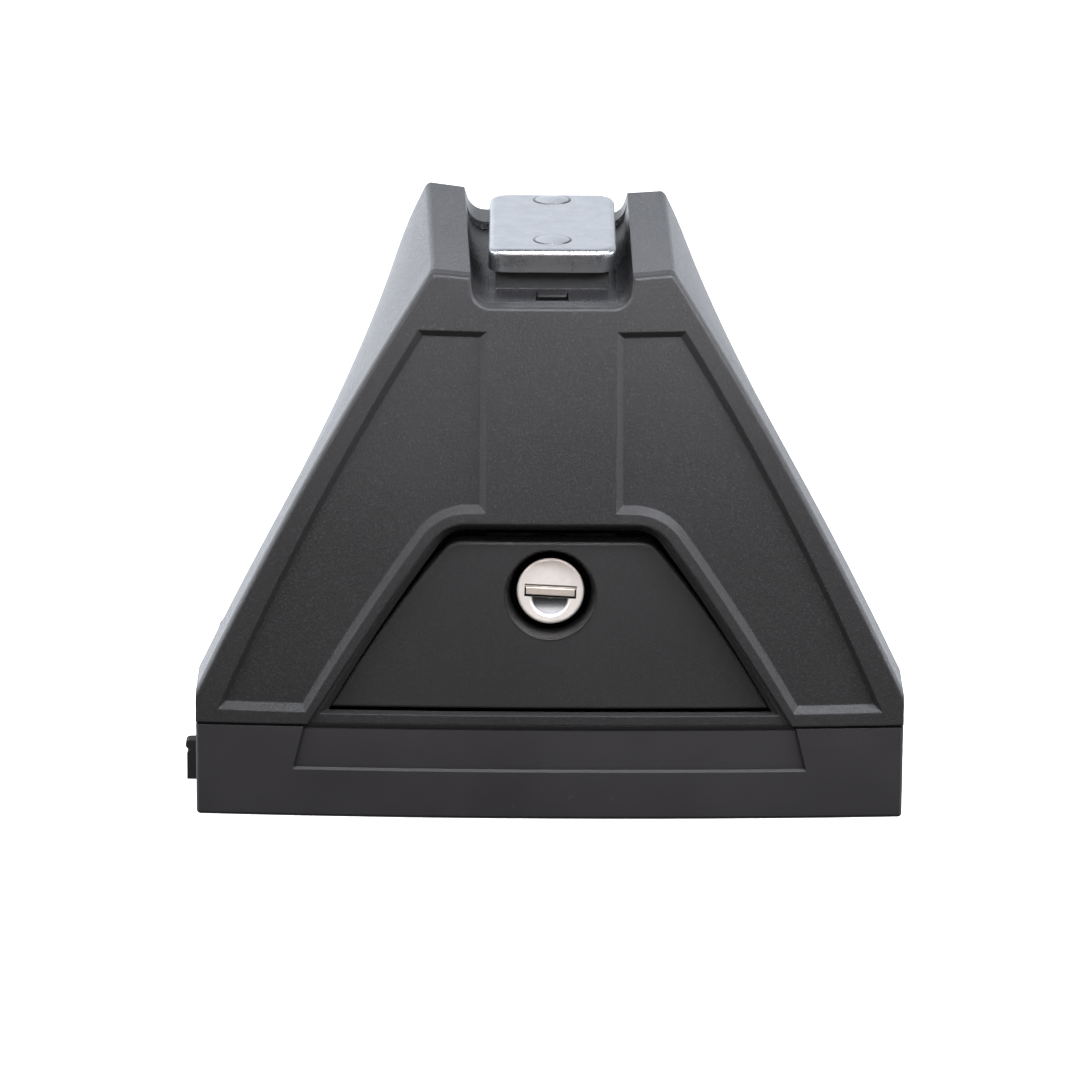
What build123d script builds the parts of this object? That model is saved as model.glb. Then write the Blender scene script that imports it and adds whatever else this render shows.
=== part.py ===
from build123d import *
from math import asin, cos, hypot, radians, sin, sqrt, tan
import os

# Roof bar foot. X runs to the right, Y to the rear and Z up.
# The origin lies on the underside of the rubber base, midway between the two roof bolts.

# Base: rubber pad, seal, steel plate
foot_width = 120.0
front_reach = 31.0
rear_reach = 37.0
pad_height = 16.1
pad_taper = 2.2
pad_rear_corner = 12.0
pad_edge_round = 0.7
inset_width = 83.0
inset_flare = 2.0
inset_height = 7.2
inset_depth = 0.5
inset_bevel = 0.4
lug_reach = 2.2
lug_width = 2.6
lug_low = 3.5
lug_block_height = 5.2
lug_lobe_height = 1.6
lug_lobe_lip = 0.2
lug_groove = 0.2
lug_groove_depth = 0.8
lug_round = 0.7
lug_y = -19.7
gasket_thick = 0.5
gasket_set_in = 0.35
plate_thick = 3.0
plate_play = 0.6
bolt_pitch = 50.0
bolt_hole = 8.5

# Front surface, shared by the cover, the door and the base
front_bow = 2.0
front_lean = 4.0

# Tower
tower_height = 78.1
shoulder_height = 5.0
ear_span = 40.2
flank_rise = 1.2
strip_depth = 14.5
rear_foot_span = 60.0
rear_ear_span = 41.4
rear_rise = 2.9
rear_skew = -7.2
rear_shift = -1.1
tower_rear_y = 31.5
waist_height = 36.0
wall = 3.0
saddle_depth = 5.9
saddle_floor_width = 26.0
saddle_mouth_front = 27.0
saddle_mouth_rear = 28.4
saddle_corner = 3.2
saddle_thick = 4.0
saddle_rear_lip = 1.3
saddle_lip_y = 24.5
bed_inset_side = 1.2
bed_inset_front = 2.8
bed_inset_rear = 0.6
bed_play = 0.3
ear_fall = 0.7
ear_trim = 0.1
ear_round = 1.8

# Front cover
cover_thick = 3.0
cover_edge = 0.6
arch_foot_width = 81.2
arch_head_width = 35.6
arch_height = 35.0
arch_rise = 0.6
arch_corner = 7.0
arch_corner_least = 1.0
arch_draft = 28.0
arch_land = 0.3
arch_band = 1.8
sill_height = 1.7
sill_recess = 0.8
panel_top_gap = 9.5
panel_bottom_gap = 2.2
panel_border_top = 3.5
panel_border_foot = 3.4
panel_column_width = 21.2
panel_depth = 1.2
panel_draft = 45.0
panel_corner = 9.0
tongue_width = 4.8
tongue_thick = 1.6
tongue_proud = 0.3
tongue_play = 0.3
tongue_far = -15.5
hook_length = 3.6
hook_edge = 0.3
hook_height = 2.4
hook_way = 2.1

# Access door and its hinge
door_recess = 3.3
door_thick = 3.0
door_foot_width = 74.4
door_head_width = 33.6
door_top_gap = 3.9
door_rise = 0.8
door_corner = 4.0
door_gap = 0.3
door_edge = 0.5
hinge_y = -23.6
hinge_height = 6.0
barrel_radius = 2.6
barrel_inset = 1.0
hinge_lug_lap = 2.4
pin_radius = 2.0
pin_play = 0.1
pin_length = 4.5
pin_end_play = 0.5

# Lock
lock_drop = 13.0
dish_rim = 15.6
dish_floor = 13.8
dish_depth = 2.6
dish_ledge = 1.4
lock_boss = 18.0
lock_boss_length = 5.0
housing_diameter = 16.0
housing_length = 6.5
plug_face = 11.8
plug_barrel = 10.4
plug_sink = 2.7
plug_head_length = 3.8
plug_play = 0.1
plug_edge = 0.6
plug_end_play = 0.2
plug_turned = -2.8
slot_width = 8.6
slot_height = 2.0
slot_depth = 3.2
shutter_thick = 0.5
shutter_play = 0.18
shutter_sink = 0.3
shutter_pin_radius = 0.25
shutter_pin_lap = 0.8
shutter_bore_play = 0.03
dimple_width = 6.8
dimple_depth = 0.8
dimple_drop = 0.15
tail_square = 6.0
tail_proud = 0.2
cam_thick = 1.8
cam_reach = 16.5
cam_width = 9.0
cam_corner = 2.0
cam_screw_head = 7.0
cam_screw_head_height = 2.0
cam_screw_thread = 3.0
cam_screw_grip = 2.0
cam_gap = 0.4
keeper_width = 16.0
keeper_height = 3.5
keeper_rise = 1.0
clip_thick = 1.0
clip_width = 22.0
clip_height = 17.6
clip_groove = 0.6

# Clamp
screw_height = 27.0
screw_thread = 8.0
screw_head = 13.0
screw_head_length = 6.0
screw_head_edge = 0.6
screw_socket = 6.0
screw_socket_depth = 3.5
screw_length = 29.0
washer_diameter = 17.0
washer_thick = 1.6
rib_y = -1.8
rib_thick = 4.0
rib_low = 13.5
rib_tall = 36.0
ring_diameter = 12.0
ring_thick = 1.2
ring_groove = 0.5
ring_opening = 5.6
nut_y = 10.5
nut_diameter = 12.0
nut_travel = 5.0
trunnion_diameter = 7.0
trunnion_proud = 0.5
ramp_angle = 25.0
strap_thick = 3.0
strap_width = 23.0
strap_leg_front = 3.6
strap_leg_rear = 22.6
strap_leg_low = 8.8
strap_drop = 8.3
web_end = 4.5
running_play = 0.3
thread_play = 0.06
stud_diameter = 5.0
stud_pitch = 26.2
stud_centre_y = 2.7
stud_head = 6.4
stud_head_rise = 0.5
stud_foot = 8.0
stud_foot_thick = 1.0
t_plate_width = 21.5
t_plate_length = 36.6
t_plate_thick = 4.0
t_plate_gap = 3.6
t_plate_corner = 3.4
t_plate_edge = 1.0
t_plate_y = 1.6

# Screws of the housing
cover_screw_inset = 14.0
cover_screw_height = 15.6
cover_screw_thread = 4.0
cover_screw_head = 7.5
cover_screw_head_height = 2.4
cover_screw_edge = 0.5
cover_boss = 8.5
gusset_thick = 5.0
gusset_front_y = -20.5
gusset_height = 20.0
base_screw_thread = 5.0
base_screw_head = 8.5
base_screw_head_height = 2.8
base_screw_edge = 0.6
foot_boss_height = 6.0
foot_boss_size = 12.0
front_screw_inset = 14.0
rear_screw_x = 26.5
rear_screw_y = 15.5

# Places worked out from the sizes above
front_y = -front_reach
rear_y = rear_reach
corner_y = front_y + front_bow
crease_y = corner_y + strip_depth
half_width = foot_width / 2
cover_screw_x = half_width - cover_screw_inset
front_screw_x = half_width - front_screw_inset
bow_radius = (half_width**2 + front_bow**2) / (2 * front_bow)
seam_z = pad_height + gasket_thick
shoulder_z = seam_z + shoulder_height
waist_z = seam_z + waist_height
ear_z = seam_z + tower_height
floor_z = ear_z - saddle_depth
ceiling_z = floor_z - saddle_thick
sill_z = seam_z + sill_height
arch_z = seam_z + arch_height
hinge_z = seam_z + hinge_height
screw_z = seam_z + screw_height
plate_top_z = pad_height + plate_thick
flank_slope = (foot_width - ear_span) / 2 / (tower_height - shoulder_height)
wall_across = wall * hypot(1.0, flank_slope)
reach = 10.0
lap = 0.5
overrun = 1.0
tall = ear_z + reach


# An arc from p to q that rises to the right of the way from p to q
def bowed(p, q, rise):
    run_x = q[0] - p[0]
    run_y = q[1] - p[1]
    length = hypot(run_x, run_y)
    middle = ((p[0] + q[0]) / 2 + rise * run_y / length, (p[1] + q[1]) / 2 - rise * run_x / length)
    return ThreePointArc(p, middle, q)


# A sketch drawn in X and Z, stood up at depth y and turned by a skew seen from above
def stand(sketch, y, skew=0.0):
    turn = radians(skew)
    return Plane((0, y, 0), x_dir=(cos(turn), sin(turn), 0), z_dir=(sin(turn), -cos(turn), 0)) * sketch


# A sketch drawn in X and Z, drawn out from depth y_near to depth y_far
def prism(sketch, y_near, y_far):
    return extrude(stand(sketch, y_far), amount=y_far - y_near)


# A box given by its two ends along each axis
def block(x_low, x_high, y_low, y_high, z_low, z_high):
    centre = ((x_low + x_high) / 2, (y_low + y_high) / 2, (z_low + z_high) / 2)
    return Pos(*centre) * Box(x_high - x_low, y_high - y_low, z_high - z_low)


# An upright cylinder between two heights
def post(diameter, x, y, z_low, z_high):
    return Pos(x, y, (z_low + z_high) / 2) * Cylinder(diameter / 2, z_high - z_low)


# A cylinder along Y between two depths
def rod(diameter, x, z, y_near, y_far):
    return Pos(x, (y_near + y_far) / 2, z) * Rot(X=90) * Cylinder(diameter / 2, y_far - y_near)


# A cylinder along X between two ends
def bar(diameter, y, z, x_low, x_high):
    return Pos((x_low + x_high) / 2, y, z) * Rot(Y=90) * Cylinder(diameter / 2, x_high - x_low)


# Both the piece and its mirror image across the middle plane
def pair(piece):
    return [piece, mirror(piece, about=Plane.YZ)]


# The one solid left by a cut or a join
def whole(shape):
    return Part(shape.solids().sort_by(SortBy.VOLUME)[-1].wrapped)


# Upright bowed layer between two distances behind the front of the base
def upright_layer(near, far):
    span = half_width + reach
    depth = bow_radius - sqrt(bow_radius**2 - span**2)
    near_ends = (front_y + depth + near, front_y + near)
    far_ends = (front_y + depth + far, front_y + far)
    plan = make_face(
        [
            ThreePointArc((-span, near_ends[0]), (0, near_ends[1]), (span, near_ends[0])),
            Line((span, near_ends[0]), (span, far_ends[0])),
            ThreePointArc((span, far_ends[0]), (0, far_ends[1]), (-span, far_ends[0])),
            Line((-span, far_ends[0]), (-span, near_ends[0])),
        ]
    )
    return extrude(Pos(0, 0, -reach) * plan, amount=tall + 2 * reach)


# Leans a shape back about the front of the seam
lean_back = Pos(0, front_y, seam_z) * Rot(X=-front_lean) * Pos(0, -front_y, -seam_z)


# The same layer leaned back
def leaned_layer(near, far):
    return lean_back * upright_layer(near, far)


# Distance of a point behind the leaned front surface
def behind_front(point):
    rise = point.Z - seam_z
    back = point.Y - front_y
    lean = radians(front_lean)
    flat_back = back * cos(lean) - rise * sin(lean)
    return flat_back - (bow_radius - sqrt(bow_radius**2 - point.X**2))


# Edges that lie on the leaned surface at one depth and follow one outline
def rim_edges(piece, outline, depth, slack=0.08):
    wire = outline.face().outer_wire()
    found = []
    for edge in piece.edges():
        middle = edge.position_at(0.5)
        on_surface = abs(behind_front(middle) - depth) < slack
        if on_surface and wire.distance_to(Vertex(middle.X, middle.Z, 0)) < slack:
            found.append(edge)
    return found


# Edges of the leaned front surface above a given height
def front_edges(piece, low, slack=0.02):
    found = []
    for edge in piece.edges():
        middle = edge.position_at(0.5)
        if abs(behind_front(middle)) < slack and middle.Z > low + overrun:
            found.append(edge)
    return found


# Those of them that run round the arch
def arch_edges(piece):
    found = []
    for edge in front_edges(piece, sill_z):
        middle = edge.position_at(0.5)
        if middle.Z < arch_z + overrun and abs(middle.X) < arch_foot_width / 2:
            found.append(edge)
    return found


# Cross-section of the tower: upright to the shoulder or waist, bowed flanks from there to the ears
def tower_outline(foot_span, top_span, rise, bend_z, inset, low):
    foot = foot_span / 2 - inset
    top = top_span / 2 - inset
    outline = make_face(
        [
            Line((-foot, low), (foot, low)),
            Line((foot, low), (foot, bend_z)),
            bowed((foot, bend_z), (top, ear_z), rise),
            Line((top, ear_z), (-top, ear_z)),
            bowed((-top, ear_z), (-foot, bend_z), rise),
            Line((-foot, bend_z), (-foot, low)),
        ]
    )
    corners = outline.vertices().filter_by(lambda v: abs(v.Y - ear_z) < 0.01)
    return fillet(corners, ear_round)


# Solid tower: a strip of even section in front, then a ruled body that narrows to the rear
def tower_form(inset, low, rear_wall):
    front = tower_outline(foot_width, ear_span, flank_rise, shoulder_z, inset, low)
    rear = Pos(rear_shift, 0) * tower_outline(rear_foot_span, rear_ear_span, rear_rise, waist_z, inset, low)
    strip = prism(front, front_y - reach, crease_y)
    body = loft([stand(front, crease_y), stand(rear, tower_rear_y - rear_wall, rear_skew)], ruled=True)
    return strip + body


# Space above the saddle floor and the sloping ear tops
def saddle_space(low):
    sections = []
    for mouth, shift, y in ((saddle_mouth_front, 0.0, corner_y), (saddle_mouth_rear, rear_shift, rear_y)):
        slope = (ear_fall - ear_trim) / (ear_span / 2 - mouth / 2)
        side = ear_span / 2 + reach
        outline = Polygon(
            (-saddle_floor_width / 2, low),
            (saddle_floor_width / 2, low),
            (mouth / 2, ear_z - ear_fall),
            (side, ear_z - ear_trim + slope * reach),
            (side, tall),
            (-side, tall),
            (-side, ear_z - ear_trim + slope * reach),
            (-mouth / 2, ear_z - ear_fall),
            align=None,
        )
        corners = outline.vertices().filter_by(lambda v: abs(v.Y - low) < 0.01)
        sections.append((Pos(shift, 0) * fillet(corners, saddle_corner), y))
    middle = loft([stand(sketch, y) for sketch, y in sections], ruled=True)
    ahead = prism(sections[0][0], corner_y - 2 * reach, corner_y)
    behind = prism(sections[1][0], rear_y, rear_y + reach)
    return middle + ahead + behind


# Outline of the arch, drawn in by an even inset, with its foot at a given height
def arch_outline(inset, low):
    slope = (arch_foot_width - arch_head_width) / 2 / arch_height
    across = inset * hypot(1.0, slope)
    head_z = arch_z - inset
    foot = arch_foot_width / 2 - slope * (low - seam_z) - across
    head = arch_foot_width / 2 - slope * (head_z - seam_z) - across
    outline = make_face(
        [
            Line((-foot, low), (foot, low)),
            bowed((foot, low), (head, head_z), arch_rise),
            Line((head, head_z), (-head, head_z)),
            bowed((-head, head_z), (-foot, low), arch_rise),
        ]
    )
    corners = outline.vertices().filter_by(lambda v: abs(v.Y - head_z) < 0.01)
    return fillet(corners, max(arch_corner - inset, arch_corner_least))


# Outline of the right-hand sunken panel of the cover, drawn in by an even inset
def panel_outline(inset):
    slope = (arch_foot_width - arch_head_width) / 2 / arch_height
    band = arch_band + inset
    across = band * hypot(1.0, slope)
    top = ear_z - panel_top_gap - inset
    low = seam_z + panel_bottom_gap + inset
    shelf = arch_z + band
    column = panel_column_width / 2 + inset
    edge_top = ear_span / 2 + flank_slope * (ear_z - top) + flank_rise / 2
    inward = inset * hypot(1.0, flank_slope)
    outer_top = edge_top - panel_border_top - inward
    outer_low = half_width - panel_border_foot - inward
    inner_low = arch_foot_width / 2 - slope * (low - seam_z) + across
    inner_top = arch_foot_width / 2 - slope * (shelf - seam_z) + across
    outline = make_face(
        [
            Line((column, shelf), (column, top)),
            Line((column, top), (outer_top, top)),
            bowed((outer_top, top), (outer_low, low), -flank_rise),
            Line((outer_low, low), (inner_low, low)),
            bowed((inner_low, low), (inner_top, shelf), arch_rise),
            Line((inner_top, shelf), (column, shelf)),
        ]
    )
    corner = outline.vertices().sort_by_distance((inner_top, shelf))[0]
    return fillet(corner, panel_corner + inset)


# Bevelled tool that sinks the right-hand panel, square to the bowed surface at the panel's middle
def panel_tool():
    middle = (panel_column_width / 2 + half_width) / 2
    turn = asin(middle / bow_radius)
    origin = (middle, front_y + bow_radius * (1 - cos(turn)), seam_z)
    face = Plane(origin, x_dir=(cos(turn), sin(turn), 0), z_dir=(sin(turn), -cos(turn), 0))
    spread = 1 / tan(radians(panel_draft))
    sections = []
    for inset in (-panel_depth, 2 * panel_depth):
        sketch = Pos(-middle, -seam_z) * panel_outline(inset)
        sections.append(face.offset(-inset * spread) * sketch)
    return lean_back * loft(sections, ruled=True)


# Lock frame: origin on the door face, local Y up the door and local Z out of it
lean = radians(front_lean)
lock_z = arch_z - lock_drop
lock_y = front_y + (lock_z - seam_z) * tan(lean) + door_recess / cos(lean)
lock_frame = Plane((0, lock_y, lock_z), x_dir=(1, 0, 0), z_dir=(0, -cos(lean), sin(lean)))
plug_frame = lock_frame * Rot(Z=plug_turned)


# A cylinder on the lock axis between two depths below the door face
def turned(diameter, near, far, frame=lock_frame):
    return frame * Pos(0, 0, -(near + far) / 2) * Cylinder(diameter / 2, far - near)


# Sizes along the lock axis, as depths below the door face
seat_depth = dish_depth + dish_ledge
boss_end = door_thick + lock_boss_length
housing_end = seat_depth + housing_length
plug_head_end = plug_sink + plug_head_length
cam_near = housing_end + cam_gap
cam_far = cam_near + cam_thick

# Front cover
front_outline = tower_outline(foot_width, ear_span, flank_rise, shoulder_z, 0.0, seam_z)
front_blank = prism(front_outline, front_y - reach, crease_y)
front_cover = leaned_layer(0.0, cover_thick) & front_blank
front_cover = whole(front_cover - saddle_space(floor_z))
draft_across = cover_thick * tan(radians(arch_draft))
arch_cut = prism(arch_outline(draft_across, sill_z), front_y - reach, crease_y)
front_cover = whole(front_cover - arch_cut)
front_face = front_cover.faces().sort_by(SortBy.AREA)[-2:].sort_by(Axis.Y)[0]
front_cover = chamfer(arch_edges(front_cover), draft_across, cover_thick - arch_land, reference=front_face)
front_cover = fillet(front_edges(front_cover, sill_z), cover_edge)
sill_cut = prism(arch_outline(0.0, seam_z - reach), front_y - reach, crease_y)
front_cover = front_cover - (sill_cut & leaned_layer(-reach, sill_recess))
for tool in pair(panel_tool() & leaned_layer(-reach, panel_depth)):
    front_cover = front_cover - tool
front_cover = whole(front_cover)

# Bosses for the two cover screws, behind the lower legs
cover_screw_z = seam_z + cover_screw_height
screw_lands_y = gusset_front_y
for side in (-1, 1):
    x = side * cover_screw_x
    boss = rod(cover_boss, x, cover_screw_z, corner_y, screw_lands_y)
    front_cover = front_cover + (boss & leaned_layer(cover_thick - lap, 4 * reach))
for side in (-1, 1):
    x = side * cover_screw_x
    pilot = rod(cover_screw_thread, x, cover_screw_z, screw_lands_y - cover_boss / 2, screw_lands_y)
    front_cover = front_cover - pilot

# Snap tongue: a shelf under the saddle and an upright whose hook shows in a slot of the floor
tongue_top = floor_z + tongue_proud
shelf_z = ceiling_z - running_play - tongue_thick
tongue_side = tongue_width / 2
tongue_near = tongue_far - tongue_thick
hook_near = tongue_far - hook_length
shelf = block(-tongue_side, tongue_side, front_y, tongue_far, shelf_z, shelf_z + tongue_thick)
hook_outline = make_face(
    Polyline(
        (hook_near, tongue_top),
        (tongue_far, tongue_top),
        (tongue_far, shelf_z),
        (tongue_near, shelf_z),
        (tongue_near, tongue_top - hook_height),
        (hook_near, tongue_top - hook_edge),
        (hook_near, tongue_top),
    )
)
hook = extrude(Plane.YZ.offset(-tongue_side) * hook_outline, amount=tongue_width)
front_cover = front_cover + ((shelf + hook) & leaned_layer(cover_thick - lap, 4 * reach))

# Keeper rib: the lock cam turns up behind it
keeper_low = lock_drop + keeper_rise
keeper_depth = cam_near - cam_gap
keeper = lock_frame * Pos(0, keeper_low + keeper_height / 2, lap - keeper_depth / 2)
front_cover = front_cover + keeper * Box(keeper_width, keeper_height, keeper_depth + 2 * lap)
front_cover = whole(front_cover)

# Tower body
cavity = tower_form(wall_across, pad_height - reach, wall)
room = cavity & block(-half_width, half_width, front_y - reach, rear_y, pad_height - reach, ceiling_z)
tower_body = tower_form(0.0, seam_z, 0.0) - room
lip_z = floor_z + saddle_rear_lip
ahead_of_lip = block(-foot_width, foot_width, -foot_width, saddle_lip_y, seam_z, tall)
tower_body = tower_body - saddle_space(lip_z) - (saddle_space(floor_z) & ahead_of_lip)
t_near = t_plate_y - t_plate_length / 2
t_far = t_plate_y + t_plate_length / 2
t_low = floor_z + t_plate_gap
t_high = t_low + t_plate_thick
bed_side = t_plate_width / 2 - bed_inset_side
bed_ends = (t_near + bed_inset_front, t_far - bed_inset_rear)
tower_body = tower_body + block(-bed_side, bed_side, *bed_ends, floor_z - lap, t_low - bed_play)
rib_low_z = seam_z + rib_low
rib_high_z = rib_low_z + rib_tall
rib = block(-half_width, half_width, rib_y, rib_y + rib_thick, rib_low_z, rib_high_z)
tower_body = tower_body + (rib & room)
guide_x = strap_width / 2 + trunnion_proud + running_play
for side in (-1, 1):
    ends = sorted((side * guide_x, side * (guide_x + wall)))
    guide = block(ends[0], ends[1], rib_y, rear_y, rib_low_z, rib_high_z)
    tower_body = tower_body + (guide & room)
hinge_lug_x = arch_foot_width / 2 - hinge_lug_lap
gusset_far_y = gusset_front_y + gusset_thick
for side in (-1, 1):
    ends = sorted((side * hinge_lug_x, side * half_width))
    gusset = block(ends[0], ends[1], gusset_front_y, gusset_far_y, seam_z, seam_z + gusset_height)
    tower_body = tower_body + (gusset & room)
    ends = sorted((side * hinge_lug_x, side * (hinge_lug_x + 2 * barrel_radius)))
    lug = block(ends[0], ends[1], front_y, gusset_front_y, seam_z, hinge_z + 2 * barrel_radius)
    tower_body = tower_body + (lug & room)
foot_boss_z = plate_top_z + foot_boss_height
front_screw_y = gusset_far_y + foot_boss_size / 2
foot_places = ((front_screw_x, front_screw_y), (rear_screw_x, rear_screw_y))
for x, y in foot_places:
    for side in (-1, 1):
        ends = sorted((side * (x - foot_boss_size / 2), side * half_width))
        near = y - foot_boss_size / 2
        boss = block(ends[0], ends[1], near, near + foot_boss_size, plate_top_z, foot_boss_z)
        tower_body = tower_body + (boss & room)
tower_body = tower_body - leaned_layer(-4 * reach, cover_thick)
screw_way = rod(screw_thread + 2 * running_play, 0, screw_z, rib_y - reach, rib_y + rib_thick + reach)
tower_body = tower_body - screw_way
for y in (stud_centre_y - stud_pitch / 2, stud_centre_y + stud_pitch / 2):
    stud_way = post(stud_diameter + 2 * running_play, 0, y, ceiling_z - overrun, t_low)
    tower_body = tower_body - stud_way
slot_half_x = tongue_side + tongue_play
slot_near = hook_near - hook_way
slot_far = tongue_far + tongue_play
tongue_slot = block(-slot_half_x, slot_half_x, slot_near, slot_far, ceiling_z - overrun, floor_z + overrun)
tower_body = tower_body - tongue_slot
for side in (-1, 1):
    x = side * cover_screw_x
    hole = rod(cover_screw_thread, x, cover_screw_z, gusset_front_y - overrun, gusset_far_y + overrun)
    tower_body = tower_body - hole
    socket_ends = sorted((side * (hinge_lug_x - overrun), side * (hinge_lug_x + pin_length)))
    tower_body = tower_body - bar(2 * (pin_radius + pin_play), hinge_y, hinge_z, *socket_ends)
    for place_x, place_y in foot_places:
        screw_hole = post(base_screw_thread, side * place_x, place_y, seam_z, foot_boss_z + overrun)
        tower_body = tower_body - screw_hole
tower_body = whole(tower_body)

# Base pad, with a shallow inset in front and a lug on the left side
pad_plan = make_face(
    [
        ThreePointArc((-half_width, corner_y), (0, front_y), (half_width, corner_y)),
        Line((half_width, corner_y), (half_width - pad_taper, rear_y)),
        Line((half_width - pad_taper, rear_y), (pad_taper - half_width, rear_y)),
        Line((pad_taper - half_width, rear_y), (-half_width, corner_y)),
    ]
)
rear_corners = pad_plan.vertices().filter_by(lambda v: abs(v.Y - rear_y) < 0.01)
pad_plan = fillet(rear_corners, pad_rear_corner)
base_pad = extrude(pad_plan, amount=pad_height)
upright_edges = base_pad.edges().filter_by(Axis.Z).filter_by(lambda e: e.center().Y < corner_y + overrun)
base_pad = fillet(upright_edges, pad_edge_round)
inset_low = pad_height - inset_height
inset_outline = make_face(
    Polyline(
        (-inset_width / 2, pad_height + overrun),
        (inset_width / 2, pad_height + overrun),
        (inset_width / 2 + inset_flare, inset_low),
        (-inset_width / 2 - inset_flare, inset_low),
        (-inset_width / 2, pad_height + overrun),
    )
)
base_pad = base_pad - (prism(inset_outline, front_y - reach, crease_y) & upright_layer(-reach, inset_depth))
inset_rim = []
for edge in base_pad.edges():
    middle = edge.position_at(0.5)
    if abs(middle.Z - inset_low) < 0.05 and middle.Y < corner_y and abs(middle.X) < overrun:
        inset_rim.append(edge)
base_pad = chamfer(sorted(inset_rim, key=lambda e: e.position_at(0.5).Y)[:1], inset_bevel)
base_pad = fillet(base_pad.faces().sort_by(Axis.Z)[0].edges(), pad_edge_round)
lug_side = -half_width + pad_taper * (lug_y - corner_y) / (rear_y - corner_y)
lug_tip = lug_side - lug_reach
lug_split = lug_low + lug_block_height
lug_near = lug_y - lug_width / 2
lug_far = lug_y + lug_width / 2
lug_block = block(lug_tip, lug_side + overrun, lug_near, lug_far, lug_low, lug_split)
lobe_low = lug_split + lug_groove
lobe_tip = lug_tip - lug_lobe_lip
lug_block = fillet(lug_block.edges().filter_by(Axis.Y).sort_by(SortBy.DISTANCE)[-1:], lug_round)
lug_lobe = block(lobe_tip, lug_side + overrun, lug_near, lug_far, lobe_low, lobe_low + lug_lobe_height)
lug_lobe = fillet(lug_lobe.edges().filter_by(Axis.Y).sort_by(Axis.X)[:2], lug_round)
lug_core = block(lug_tip + lug_groove_depth, lug_side + overrun, lug_near, lug_far, lug_low, lobe_low + lap)
base_pad = base_pad + lug_block + lug_lobe + lug_core
for side in (-1, 1):
    base_pad = base_pad - post(bolt_hole, side * bolt_pitch / 2, 0, -overrun, pad_height + overrun)
base_pad = whole(base_pad)

# Seal under the rim of the tower
seal_layer = block(-foot_width, foot_width, -foot_width, foot_width, pad_height, seam_z)
base_gasket = tower_form(gasket_set_in, pad_height - reach, gasket_set_in) & seal_layer
base_gasket = base_gasket & upright_layer(gasket_set_in, 2 * foot_width)
seal_room = cavity & upright_layer(cover_thick, 2 * foot_width)
base_gasket = whole(base_gasket - seal_room)

# Steel base plate inside the rim, with its roof bolt holes and tapped holes
plate_front_y = gusset_far_y + plate_play
plate_form = tower_form(wall_across + plate_play, pad_height - reach, wall + plate_play)
plate_layer = block(-half_width, half_width, plate_front_y, rear_y, pad_height, plate_top_z)
base_plate = plate_form & plate_layer
for side in (-1, 1):
    base_plate = base_plate - post(bolt_hole, side * bolt_pitch / 2, 0, 0, tall)
    for x, y in foot_places:
        base_plate = base_plate - post(base_screw_thread, side * x, y, 0, tall)
base_plate = whole(base_plate)


# A pan head screw standing upright, its head resting at a given height
def upright_screw(x, y, seat_z, tip_z):
    shank = post(base_screw_thread, x, y, tip_z, seat_z)
    head = post(base_screw_head, x, y, seat_z, seat_z + base_screw_head_height)
    head = chamfer(head.edges().group_by(Axis.Z)[-1], base_screw_edge)
    return shank + head


base_screws = []
for x, y in foot_places:
    for side in (-1, 1):
        base_screws.append(upright_screw(side * x, y, foot_boss_z, pad_height))

cover_screws = []
for side in (-1, 1):
    x = side * cover_screw_x
    shank = rod(cover_screw_thread, x, cover_screw_z, gusset_front_y - cover_boss / 2, gusset_far_y)
    head = rod(cover_screw_head, x, cover_screw_z, gusset_far_y, gusset_far_y + cover_screw_head_height)
    head = chamfer(head.edges().group_by(Axis.Y)[-1], cover_screw_edge)
    cover_screws.append(shank + head)

# Access door with its hinge barrel, pins and lock boss
door_low = sill_z + door_gap
door_high = arch_z - door_top_gap
door_foot = door_foot_width / 2
door_head = door_head_width / 2
door_outline = make_face(
    [
        Line((-door_foot, door_low), (door_foot, door_low)),
        bowed((door_foot, door_low), (door_head, door_high), door_rise),
        Line((door_head, door_high), (-door_head, door_high)),
        bowed((-door_head, door_high), (-door_foot, door_low), door_rise),
    ]
)
door_corners = door_outline.vertices().filter_by(lambda v: abs(v.Y - door_high) < 0.01)
door_outline = fillet(door_corners, door_corner)
door_blank = prism(door_outline, front_y - reach, crease_y)
access_door = whole(leaned_layer(door_recess, door_recess + door_thick) & door_blank)
access_door = fillet(rim_edges(access_door, door_outline, door_recess), door_edge)
door_slope = (door_foot - door_head) / (door_high - door_low)
barrel_end = door_foot - door_slope * (hinge_z - door_low) - barrel_inset
barrel = bar(2 * barrel_radius, hinge_y, hinge_z, -barrel_end, barrel_end)
pin_end = hinge_lug_x + pin_length - pin_end_play
pins = bar(2 * pin_radius, hinge_y, hinge_z, -pin_end, pin_end)
access_door = access_door + (barrel & leaned_layer(door_recess + overrun, 4 * reach)) + pins
access_door = access_door + turned(lock_boss, door_thick - lap, boss_end)
dish = lock_frame * Pos(0, 0, -dish_depth / 2)
access_door = access_door - dish * Cone(dish_floor / 2, dish_rim / 2, dish_depth)
access_door = access_door - turned(dish_rim, -overrun, 0.0)
access_door = access_door - turned(dish_floor, dish_depth, seat_depth + lap)
access_door = access_door - turned(housing_diameter, seat_depth, boss_end + overrun)
access_door = whole(access_door)

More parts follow.
